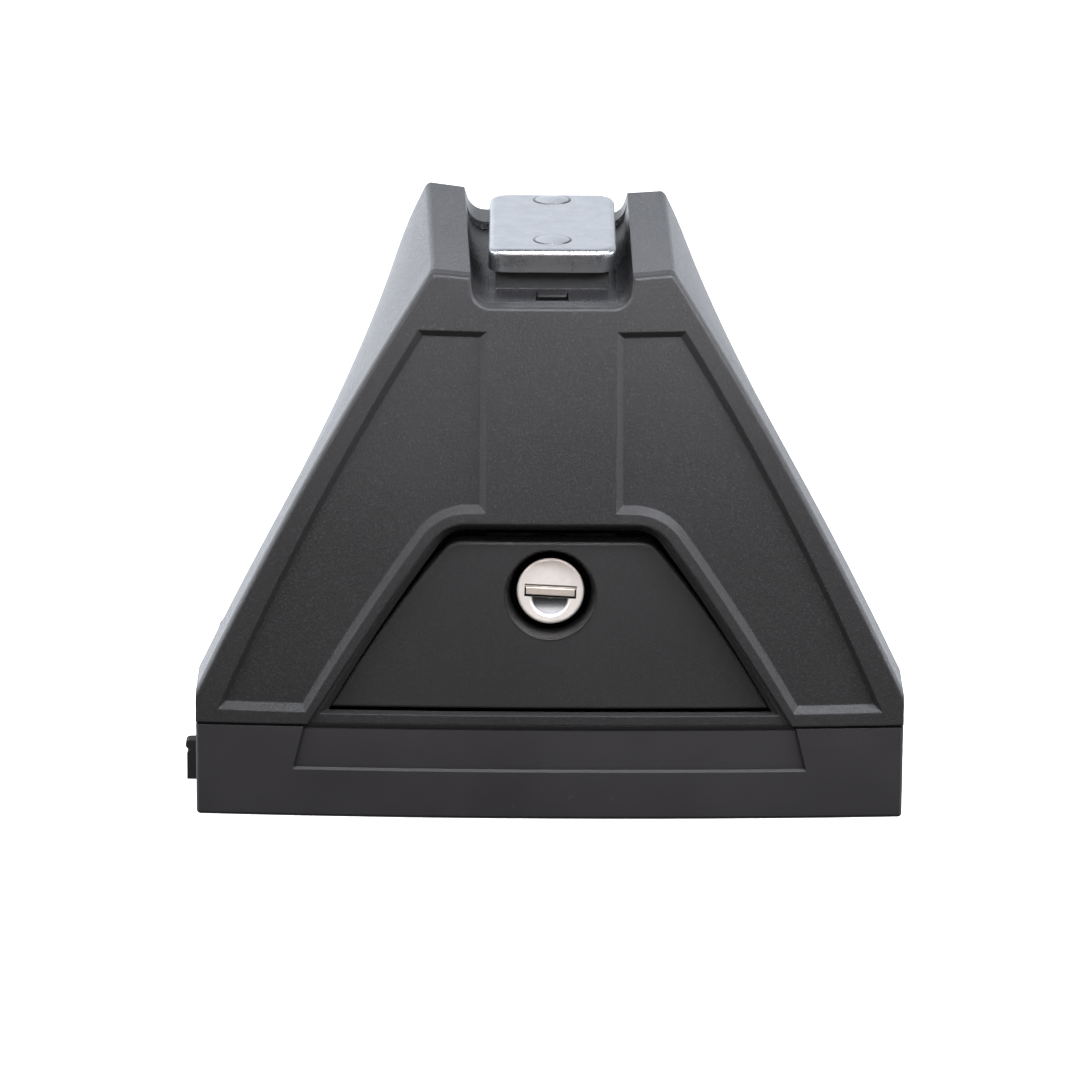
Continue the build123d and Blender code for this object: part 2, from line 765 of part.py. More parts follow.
# Lock sleeve, with a groove behind the boss for its spring plate
counterbore_end = plug_head_end + plug_end_play
lock_housing = turned(housing_diameter, seat_depth, housing_end)
lock_housing = lock_housing - turned(dish_floor, seat_depth - overrun, counterbore_end)
plug_way = turned(plug_barrel + 2 * plug_play, counterbore_end - lap, housing_end + overrun)
lock_housing = lock_housing - plug_way
groove_far = boss_end + clip_thick
groove_floor = housing_diameter - 2 * clip_groove
groove_core = turned(groove_floor, boss_end - overrun, groove_far + overrun)
lock_housing = whole(lock_housing - (turned(lock_boss, boss_end, groove_far) - groove_core))

# Spring plate: a fork that slides into the groove from below
clip_place = lock_frame * Pos(0, 0, -(boss_end + groove_far) / 2)
lock_clip = clip_place * Box(clip_width, clip_height, clip_thick) - groove_core
lock_clip = lock_clip - clip_place * Pos(0, -clip_width / 2) * Box(groove_floor, clip_width, 2 * clip_thick)
lock_clip = whole(lock_clip)

# Lock plug: turned head and barrel, key slot, dimple and square tail
lock_plug = turned(plug_face, plug_sink, plug_head_end, plug_frame)
lock_plug = fillet(lock_plug.edges().group_by(Axis.Y)[0], plug_edge)
lock_plug = lock_plug + turned(plug_barrel, plug_head_end - lap, cam_near, plug_frame)
cam_place = plug_frame * Pos(0, 0, -(cam_near + cam_far) / 2)
lock_plug = lock_plug + cam_place * Box(tail_square, tail_square, cam_thick + 2 * tail_proud)
slot_place = plug_frame * Pos(0, 0, -plug_sink)
lock_plug = lock_plug - slot_place * Box(slot_width, slot_height, 2 * slot_depth)
dimple_radius = ((dimple_width / 2) ** 2 + dimple_depth**2) / (2 * dimple_depth)
dimple_top = -slot_height / 2 - dimple_drop
dimple_ball = Pos(0, dimple_top, dimple_radius - dimple_depth) * Sphere(dimple_radius)
dimple_half = Pos(0, dimple_top - dimple_width / 2, 0) * Box(2 * dimple_width, dimple_width, dimple_width)
lock_plug = lock_plug - slot_place * (dimple_ball & dimple_half)
lock_plug = lock_plug - turned(cam_screw_thread, cam_near - cam_screw_grip, cam_far + overrun, plug_frame)

# Key shutter on a cross pin just above the slot's upper edge
shutter_pin_y = slot_height / 2 - shutter_play - shutter_thick / 2
shutter_depth = plug_sink + shutter_sink + shutter_thick / 2
pin_place = plug_frame * Pos(0, shutter_pin_y, -shutter_depth) * Rot(Y=90)
shutter_pin = pin_place * Cylinder(shutter_pin_radius, slot_width + 2 * shutter_pin_lap)
lock_plug = whole(lock_plug - shutter_pin)
leaf_low = -slot_height / 2 + shutter_play
leaf_height = shutter_pin_y - leaf_low
leaf_width = slot_width - 2 * shutter_play
leaf_place = plug_frame * Pos(0, leaf_low + leaf_height / 2, -shutter_depth)
key_shutter = leaf_place * Box(leaf_width, leaf_height, shutter_thick)
key_shutter = key_shutter + pin_place * Cylinder(shutter_thick / 2, leaf_width)
key_shutter = whole(key_shutter - pin_place * Cylinder(shutter_pin_radius + shutter_bore_play, slot_width))

# Lock cam, lying to the left at rest, and its screw
cam_length = cam_reach + cam_width / 2
lock_cam = cam_place * Pos(cam_width / 2 - cam_length / 2, 0) * Box(cam_length, cam_width, cam_thick)
lock_cam = fillet(lock_cam.edges().filter_by(lambda e: abs(e.length - cam_thick) < 0.01), cam_corner)
lock_cam = whole(lock_cam - cam_place * Box(tail_square, tail_square, 2 * cam_thick))
tail_end = cam_far + tail_proud
cam_screw = turned(cam_screw_thread, cam_near - cam_screw_grip, tail_end, plug_frame)
cam_screw = cam_screw + turned(cam_screw_head, tail_end, tail_end + cam_screw_head_height, plug_frame)
cam_screw = whole(cam_screw)

# Clamp screw with hex socket, its washer and retaining ring
washer_near = rib_y - washer_thick
head_near = washer_near - screw_head_length
screw_tip = washer_near + screw_length
clamp_screw = rod(screw_head, 0, screw_z, head_near, washer_near)
clamp_screw = fillet(clamp_screw.edges().group_by(Axis.Y)[0], screw_head_edge)
clamp_screw = clamp_screw + rod(screw_thread, 0, screw_z, washer_near, screw_tip)
hexagon = Pos(0, screw_z) * RegularPolygon(screw_socket / sqrt(3), 6)
clamp_screw = clamp_screw - prism(hexagon, head_near - overrun, head_near + screw_socket_depth)
ring_near = rib_y + rib_thick
ring_far = ring_near + ring_thick
ring_core = rod(screw_thread - 2 * ring_groove, 0, screw_z, ring_near - overrun, ring_far + overrun)
screw_ring = rod(ring_diameter, 0, screw_z, ring_near, ring_far) - ring_core
clamp_screw = whole(clamp_screw - screw_ring)
screw_washer = rod(washer_diameter, 0, screw_z, washer_near, rib_y)
screw_washer = screw_washer - rod(screw_thread, 0, screw_z, washer_near - overrun, rib_y + overrun)
ring_mouth = Pos(0, (ring_near + ring_far) / 2, screw_z - ring_diameter / 2)
screw_ring = whole(screw_ring - ring_mouth * Box(ring_opening, 2 * ring_thick, ring_diameter))

# Barrel nut with trunnions at both ends
strap_inside = strap_width / 2 - strap_thick
nut_end = strap_inside - running_play
barrel_nut = bar(nut_diameter, nut_y, screw_z, -nut_end, nut_end)
trunnion_end = strap_width / 2 + trunnion_proud
barrel_nut = barrel_nut + bar(trunnion_diameter, nut_y, screw_z, -trunnion_end, trunnion_end)
thread_bore = rod(screw_thread + 2 * thread_play, 0, screw_z, nut_y - nut_diameter, nut_y + nut_diameter)
barrel_nut = whole(barrel_nut - thread_bore)

# Stirrup: strap folded to a U, with an inclined slot in each leg
web_high = floor_z - strap_drop
web_low = web_high - strap_thick
web_near = stud_centre_y - stud_pitch / 2 - web_end
leg_low = screw_z - strap_leg_low
strap_section = make_face(
    Polyline(
        (-strap_width / 2, leg_low),
        (-strap_width / 2, web_high),
        (strap_width / 2, web_high),
        (strap_width / 2, leg_low),
        (strap_inside, leg_low),
        (strap_inside, web_low),
        (-strap_inside, web_low),
        (-strap_inside, leg_low),
        (-strap_width / 2, leg_low),
    )
)
fold_outer = strap_section.vertices().filter_by(lambda v: abs(v.Y - web_high) < 0.01)
strap_section = fillet(fold_outer, strap_thick)
clamp_stirrup = prism(strap_section, web_near, strap_leg_rear)
leg_trim = block(-strap_width, strap_width, web_near - overrun, strap_leg_front, 0, web_low)
clamp_stirrup = clamp_stirrup - leg_trim
ramp_rise = nut_travel * tan(radians(ramp_angle))
slot_span = hypot(nut_travel, ramp_rise)
ramp_slot = SlotCenterToCenter(slot_span, trunnion_diameter + 2 * running_play)
ramp_place = Plane(
    (0, nut_y + nut_travel / 2, screw_z - ramp_rise / 2), x_dir=(0, -nut_travel, ramp_rise), z_dir=(1, 0, 0)
)
ramp_tool = extrude(ramp_place * ramp_slot, amount=strap_width, both=True)
clamp_stirrup = clamp_stirrup - ramp_tool
for y in (stud_centre_y - stud_pitch / 2, stud_centre_y + stud_pitch / 2):
    clamp_stirrup = clamp_stirrup - post(stud_diameter, 0, y, 0, tall)
clamp_stirrup = whole(clamp_stirrup)

# T-plate with rounded corners, lying just above its bed and held by the studs
t_plate = Pos(0, t_plate_y, (t_low + t_high) / 2) * Box(t_plate_width, t_plate_length, t_plate_thick)
t_plate = fillet(t_plate.edges().filter_by(Axis.Z), t_plate_corner)
t_plate = fillet(t_plate.faces().sort_by(Axis.Z)[-1].edges(), t_plate_edge)
clamp_studs = []
for y in (stud_centre_y - stud_pitch / 2, stud_centre_y + stud_pitch / 2):
    t_plate = t_plate - post(stud_diameter, 0, y, 0, tall)
    stud = post(stud_diameter, 0, y, web_low, t_high)
    dome_radius = ((stud_head / 2) ** 2 + stud_head_rise**2) / (2 * stud_head_rise)
    dome = Pos(0, y, t_high + stud_head_rise - dome_radius) * Sphere(dome_radius)
    cap = dome & post(stud_head, 0, y, t_high, t_high + 2 * stud_head_rise)
    tail = post(stud_foot, 0, y, web_low - stud_foot_thick, web_low)
    clamp_studs.append(whole(stud + cap + tail))
t_plate = whole(t_plate)

nodes = {
    "tower_body": tower_body,
    "front_cover": front_cover,
    "cover_screws": Compound(children=cover_screws),
    "base_pad": base_pad,
    "base_gasket": base_gasket,
    "base_plate": base_plate,
    "base_screws": Compound(children=base_screws),
    "clamp_screw": clamp_screw,
    "screw_washer": screw_washer,
    "screw_ring": screw_ring,
    "barrel_nut": barrel_nut,
    "clamp_stirrup": clamp_stirrup,
    "t_plate": t_plate,
    "clamp_studs": Compound(children=clamp_studs),
    "access_door": access_door,
    "lock_housing": lock_housing,
    "lock_clip": lock_clip,
    "lock_plug": lock_plug,
    "key_shutter": key_shutter,
    "shutter_pin": shutter_pin,
    "lock_cam": lock_cam,
    "cam_screw": cam_screw,
}
os.makedirs("parts", exist_ok=True)
for name, shape in nodes.items():
    export_step(shape, f"parts/{name}.step")
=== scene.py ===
import math

import bpy
from mathutils import Matrix, Vector


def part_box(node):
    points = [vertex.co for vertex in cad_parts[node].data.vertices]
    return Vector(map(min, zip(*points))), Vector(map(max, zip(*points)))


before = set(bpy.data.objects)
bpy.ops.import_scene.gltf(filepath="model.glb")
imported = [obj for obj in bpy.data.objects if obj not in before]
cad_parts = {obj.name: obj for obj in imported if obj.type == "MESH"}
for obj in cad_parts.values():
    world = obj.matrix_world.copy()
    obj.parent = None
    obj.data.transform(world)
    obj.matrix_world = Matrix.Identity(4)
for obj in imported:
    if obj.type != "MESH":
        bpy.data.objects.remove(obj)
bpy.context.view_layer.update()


# Rubber base: one thick block of black EPDM, compression moulded, that stands on the roof paint.
# The blasted mould leaves a matt skin with a dull bloom and pale dust, and painted shade darkens its inner
# corners.


def linear(hex_colour):
    channels = []
    for start in (1, 3, 5):
        value = int(hex_colour[start : start + 2], 16) / 255
        channels.append(value / 12.92 if value <= 0.04045 else ((value + 0.055) / 1.055) ** 2.4)
    return (*channels, 1.0)


def metres(size_mm):
    return size_mm / 1000.0


def per_metre(size_mm):
    return 1000.0 / size_mm


def add(tree, kind, inputs=None, **settings):
    made = tree.nodes.new(kind)
    for name, value in settings.items():
        setattr(made, name, value)
    for socket, value in (inputs or {}).items():
        if isinstance(value, bpy.types.NodeSocket):
            tree.links.new(value, made.inputs[socket])
        else:
            made.inputs[socket].default_value = value
    return made


def start_material(name):
    material = bpy.data.materials.new(name)
    material.use_nodes = True
    material.node_tree.nodes.clear()
    return material, material.node_tree


def set_stops(ramp, stops):
    elements = ramp.color_ramp.elements
    while len(elements) < len(stops):
        elements.new(0.5)
    for element, (position, colour) in zip(elements, stops):
        element.position = position
        element.color = linear(colour)


def dress(material, *nodes):
    for name in nodes:
        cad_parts[name].data.materials.clear()
        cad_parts[name].data.materials.append(material)


# The real grit is about 0.1 mm. A pixel of the picture is 0.17 mm, so the grain is drawn coarser to show.
rubber_grain_mm = 0.5
rubber_grain_depth_mm = 0.03
rubber_grain_strength = 0.35
rubber_bloom_mm = 26.0
dust_mm = 1.6
dust_start, dust_full, dust_cover = 0.74, 0.84, 0.06
crease_mm = 0.9
crease_full, crease_end, crease_cover = 0.6, 0.95, 0.9
rubber_matt_low, rubber_matt_high = 0.62, 0.72
rubber_sheen = 0.35
noise_low, noise_high = 0.3, 0.7
moulded_ior = 1.5
deep_black = "#050505"

epdm, tree = start_material("black_epdm_rubber_moulded")
place = add(tree, "ShaderNodeTexCoord").outputs["Object"]
bloom = add(
    tree,
    "ShaderNodeTexNoise",
    {"Vector": place, "Scale": per_metre(rubber_bloom_mm), "Detail": 4.0, "Roughness": 0.6},
)
skin = add(tree, "ShaderNodeValToRGB", {"Fac": bloom.outputs["Fac"]})
set_stops(skin, ((noise_low, "#201e1f"), (noise_high, "#272526")))
dust = add(
    tree,
    "ShaderNodeTexNoise",
    {"Vector": place, "Scale": per_metre(dust_mm), "Detail": 2.0, "Roughness": 0.5},
)
dust_mask = add(
    tree,
    "ShaderNodeMapRange",
    {"Value": dust.outputs["Fac"], "From Min": dust_start, "From Max": dust_full, "To Max": dust_cover},
)
dusty = add(
    tree,
    "ShaderNodeMix",
    {"Factor": dust_mask.outputs["Result"], "A": skin.outputs["Color"], "B": linear("#8d8a88")},
    data_type="RGBA",
)
# Painted shade: occlusion darkens the inner corners and creases towards black.
crease = add(
    tree,
    "ShaderNodeAmbientOcclusion",
    {"Distance": metres(crease_mm)},
    samples=8,
    only_local=True,
)
crease_painted_shade = add(
    tree,
    "ShaderNodeMapRange",
    {
        "Value": crease.outputs["AO"],
        "From Min": crease_full,
        "From Max": crease_end,
        "To Min": crease_cover,
        "To Max": 0.0,
    },
)
crease_shaded_skin = add(
    tree,
    "ShaderNodeMix",
    {"Factor": crease_painted_shade.outputs["Result"], "A": dusty.outputs["Result"], "B": linear(deep_black)},
    data_type="RGBA",
)
grain = add(
    tree,
    "ShaderNodeTexNoise",
    {"Vector": place, "Scale": per_metre(rubber_grain_mm), "Detail": 3.0, "Roughness": 0.6},
)
matt = add(
    tree,
    "ShaderNodeMapRange",
    {
        "Value": bloom.outputs["Fac"],
        "From Min": noise_low,
        "From Max": noise_high,
        "To Min": rubber_matt_low,
        "To Max": rubber_matt_high,
    },
)
relief = add(
    tree,
    "ShaderNodeBump",
    {
        "Height": grain.outputs["Fac"],
        "Strength": rubber_grain_strength,
        "Distance": metres(rubber_grain_depth_mm),
    },
)
shader = add(
    tree,
    "ShaderNodeBsdfPrincipled",
    {
        "Base Color": crease_shaded_skin.outputs["Result"],
        "Roughness": matt.outputs["Result"],
        "IOR": moulded_ior,
        "Specular IOR Level": rubber_sheen,
        "Normal": relief.outputs["Normal"],
    },
)
add(tree, "ShaderNodeOutputMaterial", {"Surface": shader.outputs["BSDF"]})
dress(epdm, "base_pad")


# Seal: a thin strip of soft black rubber that lies between base and tower and shows as a dark line.
# It is die-cut from sheet, so its edge is plain and takes up nearly all light.
seal_grain_mm = 0.8
seal_grain_depth_mm = 0.02
seal_grain_strength = 0.2
seal_matt = 0.8
seal_sheen = 0.2

seal, tree = start_material("soft_black_rubber_sheet")
place = add(tree, "ShaderNodeTexCoord").outputs["Object"]
grain = add(tree, "ShaderNodeTexNoise", {"Vector": place, "Scale": per_metre(seal_grain_mm), "Detail": 2.0})
relief = add(
    tree,
    "ShaderNodeBump",
    {
        "Height": grain.outputs["Fac"],
        "Strength": seal_grain_strength,
        "Distance": metres(seal_grain_depth_mm),
    },
)
shader = add(
    tree,
    "ShaderNodeBsdfPrincipled",
    {
        "Base Color": linear(deep_black),
        "Roughness": seal_matt,
        "IOR": moulded_ior,
        "Specular IOR Level": seal_sheen,
        "Normal": relief.outputs["Normal"],
    },
)
add(tree, "ShaderNodeOutputMaterial", {"Surface": shader.outputs["BSDF"]})
dress(seal, "base_gasket")


# Tower, front cover and access door: glass-filled black nylon, injection moulded in an etched tool.
# The etched grain is coarsest on the tower and finest on the door, and its tiny pale specks are painted
# glints.
# Screws hold the tower to the base plate and the cover to the tower, and the door hangs on its hinge.

# The etched grain is about 0.15 mm, and is drawn coarser to show.
nylon_grain_mm = 0.42
nylon_grain_strength = 0.8
nylon_speck_mm = 0.34
speck_start, speck_full = 0.55, 0.8
nylon_flow_mm = 34.0
nylon_edge_mm = 0.35
nylon_ior = 1.53
glint_speck_colour = "#55565a"
nylon_matt_spread = 0.09
soft_edge = 0.0001


# How far a point lies inside a block, from 0 outside to 1 inside, with a soft edge of 0.1 mm
def inside_block(tree, place, low, high):
    middle = [(a + b) / 2 for a, b in zip(low, high)]
    half = [(b - a) / 2 for a, b in zip(low, high)]
    offset = add(tree, "ShaderNodeVectorMath", {0: place, 1: middle}, operation="SUBTRACT")
    folded = add(tree, "ShaderNodeVectorMath", {0: offset.outputs["Vector"]}, operation="ABSOLUTE")
    beyond = add(tree, "ShaderNodeVectorMath", {0: folded.outputs["Vector"], 1: half}, operation="SUBTRACT")
    sides = add(tree, "ShaderNodeSeparateXYZ", {"Vector": beyond.outputs["Vector"]})
    flat = add(tree, "ShaderNodeMath", {0: sides.outputs["X"], 1: sides.outputs["Y"]}, operation="MAXIMUM")
    both = {0: flat.outputs["Value"], 1: sides.outputs["Z"]}
    farthest = add(tree, "ShaderNodeMath", both, operation="MAXIMUM")
    mask = {"Value": farthest.outputs["Value"], "From Min": soft_edge, "From Max": 0.0}
    return add(tree, "ShaderNodeMapRange", mask).outputs["Result"]


# A point's distance from an axis through centre, where across is 1 in the two directions square to it
def from_axis(tree, place, centre, across):
    offset = add(tree, "ShaderNodeVectorMath", {0: place, 1: centre}, operation="SUBTRACT")
    flat = add(tree, "ShaderNodeVectorMath", {0: offset.outputs["Vector"], 1: across}, operation="MULTIPLY")
    length = add(tree, "ShaderNodeVectorMath", {0: flat.outputs["Vector"]}, operation="LENGTH")
    return length.outputs["Value"]


# The mask marks a hollow that light hardly reaches, where painted shade makes it black, without the painted
# glints, and evenly matt
def grained_nylon(
    name, dark, light, matt, sheen, glint_speck_cover, tooth_mm, shade_paint_where=None, shade_paint_matt=0.9
):
    material, tree = start_material(name)
    place = add(tree, "ShaderNodeTexCoord").outputs["Object"]
    flow = add(
        tree,
        "ShaderNodeTexNoise",
        {"Vector": place, "Scale": per_metre(nylon_flow_mm), "Detail": 3.0, "Roughness": 0.5},
    )
    body = add(tree, "ShaderNodeValToRGB", {"Fac": flow.outputs["Fac"]})
    set_stops(body, ((noise_low, dark), (noise_high, light)))
    # Painted highlight: tiny pale specks stand for glints off the etched grain.
    speck = add(
        tree,
        "ShaderNodeTexNoise",
        {"Vector": place, "Scale": per_metre(nylon_speck_mm), "Detail": 2.0, "Roughness": 0.6},
    )
    glint_speck_mask = add(
        tree,
        "ShaderNodeMapRange",
        {
            "Value": speck.outputs["Fac"],
            "From Min": speck_start,
            "From Max": speck_full,
            "To Max": glint_speck_cover,
        },
    )
    glint_specked = add(
        tree,
        "ShaderNodeMix",
        {"Factor": glint_speck_mask.outputs["Result"], "A": body.outputs["Color"], "B": linear(glint_speck_colour)},
        data_type="RGBA",
    )
    grain = add(
        tree,
        "ShaderNodeTexNoise",
        {"Vector": place, "Scale": per_metre(nylon_grain_mm), "Detail": 3.0, "Roughness": 0.65},
    )
    gloss = add(
        tree,
        "ShaderNodeMapRange",
        {
            "Value": grain.outputs["Fac"],
            "From Min": noise_low,
            "From Max": noise_high,
            "To Min": matt - nylon_matt_spread,
            "To Max": matt + nylon_matt_spread,
        },
    )
    colour, roughness = glint_specked.outputs["Result"], gloss.outputs["Result"]
    if shade_paint_where:
        mask = shade_paint_where(tree, place)
        # Painted shade: the marked hollow is mixed to black.
        black = {"Factor": mask, "A": colour, "B": linear(deep_black)}
        colour = add(tree, "ShaderNodeMix", black, data_type="RGBA").outputs["Result"]
        plain = {"Value": mask, "To Min": roughness, "To Max": shade_paint_matt}
        roughness = add(tree, "ShaderNodeMapRange", plain).outputs["Result"]
    edge = add(tree, "ShaderNodeBevel", {"Radius": metres(nylon_edge_mm)}, samples=4)
    relief = add(
        tree,
        "ShaderNodeBump",
        {
            "Height": grain.outputs["Fac"],
            "Strength": nylon_grain_strength,
            "Distance": metres(tooth_mm),
            "Normal": edge.outputs["Normal"],
        },
    )
    shader = add(
        tree,
        "ShaderNodeBsdfPrincipled",
        {
            "Base Color": colour,
            "Roughness": roughness,
            "IOR": nylon_ior,
            "Specular IOR Level": sheen,
            "Normal": relief.outputs["Normal"],
        },
    )
    add(tree, "ShaderNodeOutputMaterial", {"Surface": shader.outputs["BSDF"]})
    return material


plate_low, plate_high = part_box("t_plate")
bed_height = 0.0036
bed_inset = 0.002


# The bed of the T-plate, painted black as the plate's shadow
def plate_bed(tree, place):
    low = (plate_low[0], plate_low[1] + bed_inset, plate_low[2] - bed_height + soft_edge)
    return inside_block(tree, place, low, (plate_high[0], plate_high[1], plate_low[2]))


dish_radius = 0.0079
front_lean = math.radians(4.0)
plug_low, plug_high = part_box("lock_plug")
plug_radius = (plug_high[0] - plug_low[0]) / 2
lock_x = (plug_low[0] + plug_high[0]) / 2
lock_z = plug_high[2] - plug_radius * math.cos(front_lean)


# The conical dish round the lock, painted black as shade and made smoother
def lock_dish(tree, place):
    far = from_axis(tree, place, (lock_x, 0.0, lock_z), (1.0, 0.0, 1.0))
    mask = {"Value": far, "From Min": dish_radius, "From Max": dish_radius - soft_edge}
    return add(tree, "ShaderNodeMapRange", mask).outputs["Result"]


tower_nylon = grained_nylon(
    "glass_filled_nylon_tower",
    dark="#1e1d1e",
    light="#242324",
    matt=0.32,
    sheen=0.5,
    glint_speck_cover=0.7,
    tooth_mm=0.2,
    shade_paint_where=plate_bed,
)
cover_nylon = grained_nylon(
    "glass_filled_nylon_cover",
    dark="#1c1b1b",
    light="#212020",
    matt=0.52,
    sheen=0.3,
    glint_speck_cover=0.22,
    tooth_mm=0.05,
)
door_nylon = grained_nylon(
    "glass_filled_nylon_door",
    dark="#1c1b1b",
    light="#201f1f",
    matt=0.55,
    sheen=0.3,
    glint_speck_cover=0.1,
    tooth_mm=0.03,
    shade_paint_where=lock_dish,
    shade_paint_matt=0.35,
)
dress(tower_nylon, "tower_body")
dress(cover_nylon, "front_cover")
dress(door_nylon, "access_door")


# Steel pieces of the base, clamp and lock: pressed or turned steel, bright zinc plated in a barrel.
# Plating leaves a pale bluish metal with a soft mottle and small scuffs from tumbling.
# The scuffs are finer than a pixel, and are drawn coarser to show.
zinc_mottle_mm = 3.0
zinc_scuff_mm = 0.5
zinc_scuff_depth_mm = 0.03
zinc_scuff_strength = 0.25
zinc_edge_mm = 0.3
zinc_matt_spread = 0.03
coat_low, coat_high = 0.35, 0.65
side_shade_and_line_colour = "#4b4b4a"


def plated_steel(name, dark, light, matt, darkened_where=None):
    material, tree = start_material(name)
    place = add(tree, "ShaderNodeTexCoord").outputs["Object"]
    mottle = add(
        tree,
        "ShaderNodeTexNoise",
        {"Vector": place, "Scale": per_metre(zinc_mottle_mm), "Detail": 5.0, "Roughness": 0.65},
    )
    coat = add(tree, "ShaderNodeValToRGB", {"Fac": mottle.outputs["Fac"]})
    set_stops(coat, ((coat_low, dark), (coat_high, light)))
    gloss = add(
        tree,
        "ShaderNodeMapRange",
        {
            "Value": mottle.outputs["Fac"],
            "From Min": noise_low,
            "From Max": noise_high,
            "To Min": matt + zinc_matt_spread,
            "To Max": matt - zinc_matt_spread,
        },
    )
    colour = coat.outputs["Color"]
    # Painted shade and dark lines are mixed into the colour where the mask marks them.
    if darkened_where:
        darkening = {"Factor": darkened_where(tree, place), "A": colour, "B": linear(side_shade_and_line_colour)}
        colour = add(tree, "ShaderNodeMix", darkening, data_type="RGBA").outputs["Result"]
    scuffs = add(
        tree,
        "ShaderNodeTexNoise",
        {"Vector": place, "Scale": per_metre(zinc_scuff_mm), "Detail": 3.0, "Roughness": 0.6},
    )
    edge = add(tree, "ShaderNodeBevel", {"Radius": metres(zinc_edge_mm)}, samples=4)
    relief = add(
        tree,
        "ShaderNodeBump",
        {
            "Height": scuffs.outputs["Fac"],
            "Strength": zinc_scuff_strength,
            "Distance": metres(zinc_scuff_depth_mm),
            "Normal": edge.outputs["Normal"],
        },
    )
    shader = add(
        tree,
        "ShaderNodeBsdfPrincipled",
        {
            "Base Color": colour,
            "Metallic": 1.0,
            "Roughness": gloss.outputs["Result"],
            "Normal": relief.outputs["Normal"],
        },
    )
    add(tree, "ShaderNodeOutputMaterial", {"Surface": shader.outputs["BSDF"]})
    return material


bright_zinc = plated_steel("bright_zinc_plated_steel", dark="#c0c2c6", light="#cccfd3", matt=0.24)
dress(bright_zinc, "base_plate", "base_screws", "cover_screws")
dress(bright_zinc, "clamp_stirrup", "barrel_nut", "screw_washer")
dress(bright_zinc, "lock_cam", "cam_screw")


# T-plate and its studs: the same zinc-plated steel. The studs are swaged flush into the plate's top.
# The plate's sheared sides get painted shade, darker where they face less upwards, and a thin dark line
# runs round each stud head.
stud_low, stud_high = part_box("clamp_studs")
stud_pitch = 0.0262
head_radius = 0.0031
line_inner, line_outer, line_cover = 0.0001, 0.0003, 0.8
side_start, side_full, side_cover = 0.75, 0.3, 0.5


# Painted shade on the plate's sides, which face less upwards, and the dark line round each head
def plate_side_shade_and_lines(tree, place):
    normal = add(tree, "ShaderNodeTexCoord").outputs["Normal"]
    facing = add(tree, "ShaderNodeSeparateXYZ", {"Vector": normal})
    side = add(
        tree,
        "ShaderNodeMapRange",
        {
            "Value": facing.outputs["Z"],
            "From Min": side_start,
            "From Max": side_full,
            "To Max": side_cover,
        },
    )
    middle = [(a + b) / 2 for a, b in zip(stud_low, stud_high)]
    offset = add(tree, "ShaderNodeVectorMath", {0: place, 1: middle}, operation="SUBTRACT")
    folded = add(tree, "ShaderNodeVectorMath", {0: offset.outputs["Vector"]}, operation="ABSOLUTE")
    stud = (0.0, stud_pitch / 2, 0.0)
    far = from_axis(tree, folded.outputs["Vector"], stud, (1.0, 1.0, 0.0))
    gap = add(tree, "ShaderNodeMath", {0: far, 1: head_radius}, operation="SUBTRACT")
    width = add(tree, "ShaderNodeMath", {0: gap.outputs["Value"]}, operation="ABSOLUTE")
    ring = add(
        tree,
        "ShaderNodeMapRange",
        {
            "Value": width.outputs["Value"],
            "From Min": line_outer,
            "From Max": line_inner,
            "To Max": line_cover,
        },
    )
    return add(
        tree,
        "ShaderNodeMath",
        {0: side.outputs["Result"], 1: ring.outputs["Result"]},
        operation="MAXIMUM",
    ).outputs["Value"]


clamp_zinc = plated_steel(
    "zinc_plated_clamp_plate", dark="#c2c4c8", light="#cdd0d3", matt=0.28, darkened_where=plate_side_shade_and_lines
)
dress(clamp_zinc, "t_plate", "clamp_studs")


# Retaining ring: stamped from spring steel, and pushed into a groove of the clamp screw behind the rib.
# It is hardened and oiled, which leaves a dull mid grey.
ring_steel = plated_steel("oiled_spring_steel", dark="#5b5d62", light="#74767a", matt=0.34)
dress(ring_steel, "screw_ring")


# Clamp screw and lock clip: a cold-headed screw with a hex socket, and a stamped spring plate.
# Both are blackened in a hot salt bath and oiled, which leaves a soft dark shine.
black_steel = plated_steel("black_oxide_alloy_steel", dark="#1d1d1f", light="#2a2a2c", matt=0.4)
dress(black_steel, "clamp_screw", "lock_clip")


# Lock sleeve: zinc die-casting, black passivated, pressed into the door and held by the clip.
# It shows only as the dark ring round the plug.
black_casting = plated_steel("black_passivated_zinc_casting", dark="#101011", light="#19191a", matt=0.55)
dress(black_casting, "lock_housing")


# Lock plug, key shutter and its pin: brass, turned or stamped and then satin nickel plated.
# Nickel has a warm tone and a soft haze, the dimple is pressed bright but painted a darker grey as shade,
# and the slot and gap are painted dark as shade.
nickel_haze_mm = 2.2
nickel_edge_mm = 0.15
nickel_matt_spread = 0.04
dimple_shade_colour = "#8b9094"
dimple_matt = 0.26
slot_shade_colour = "#161412"


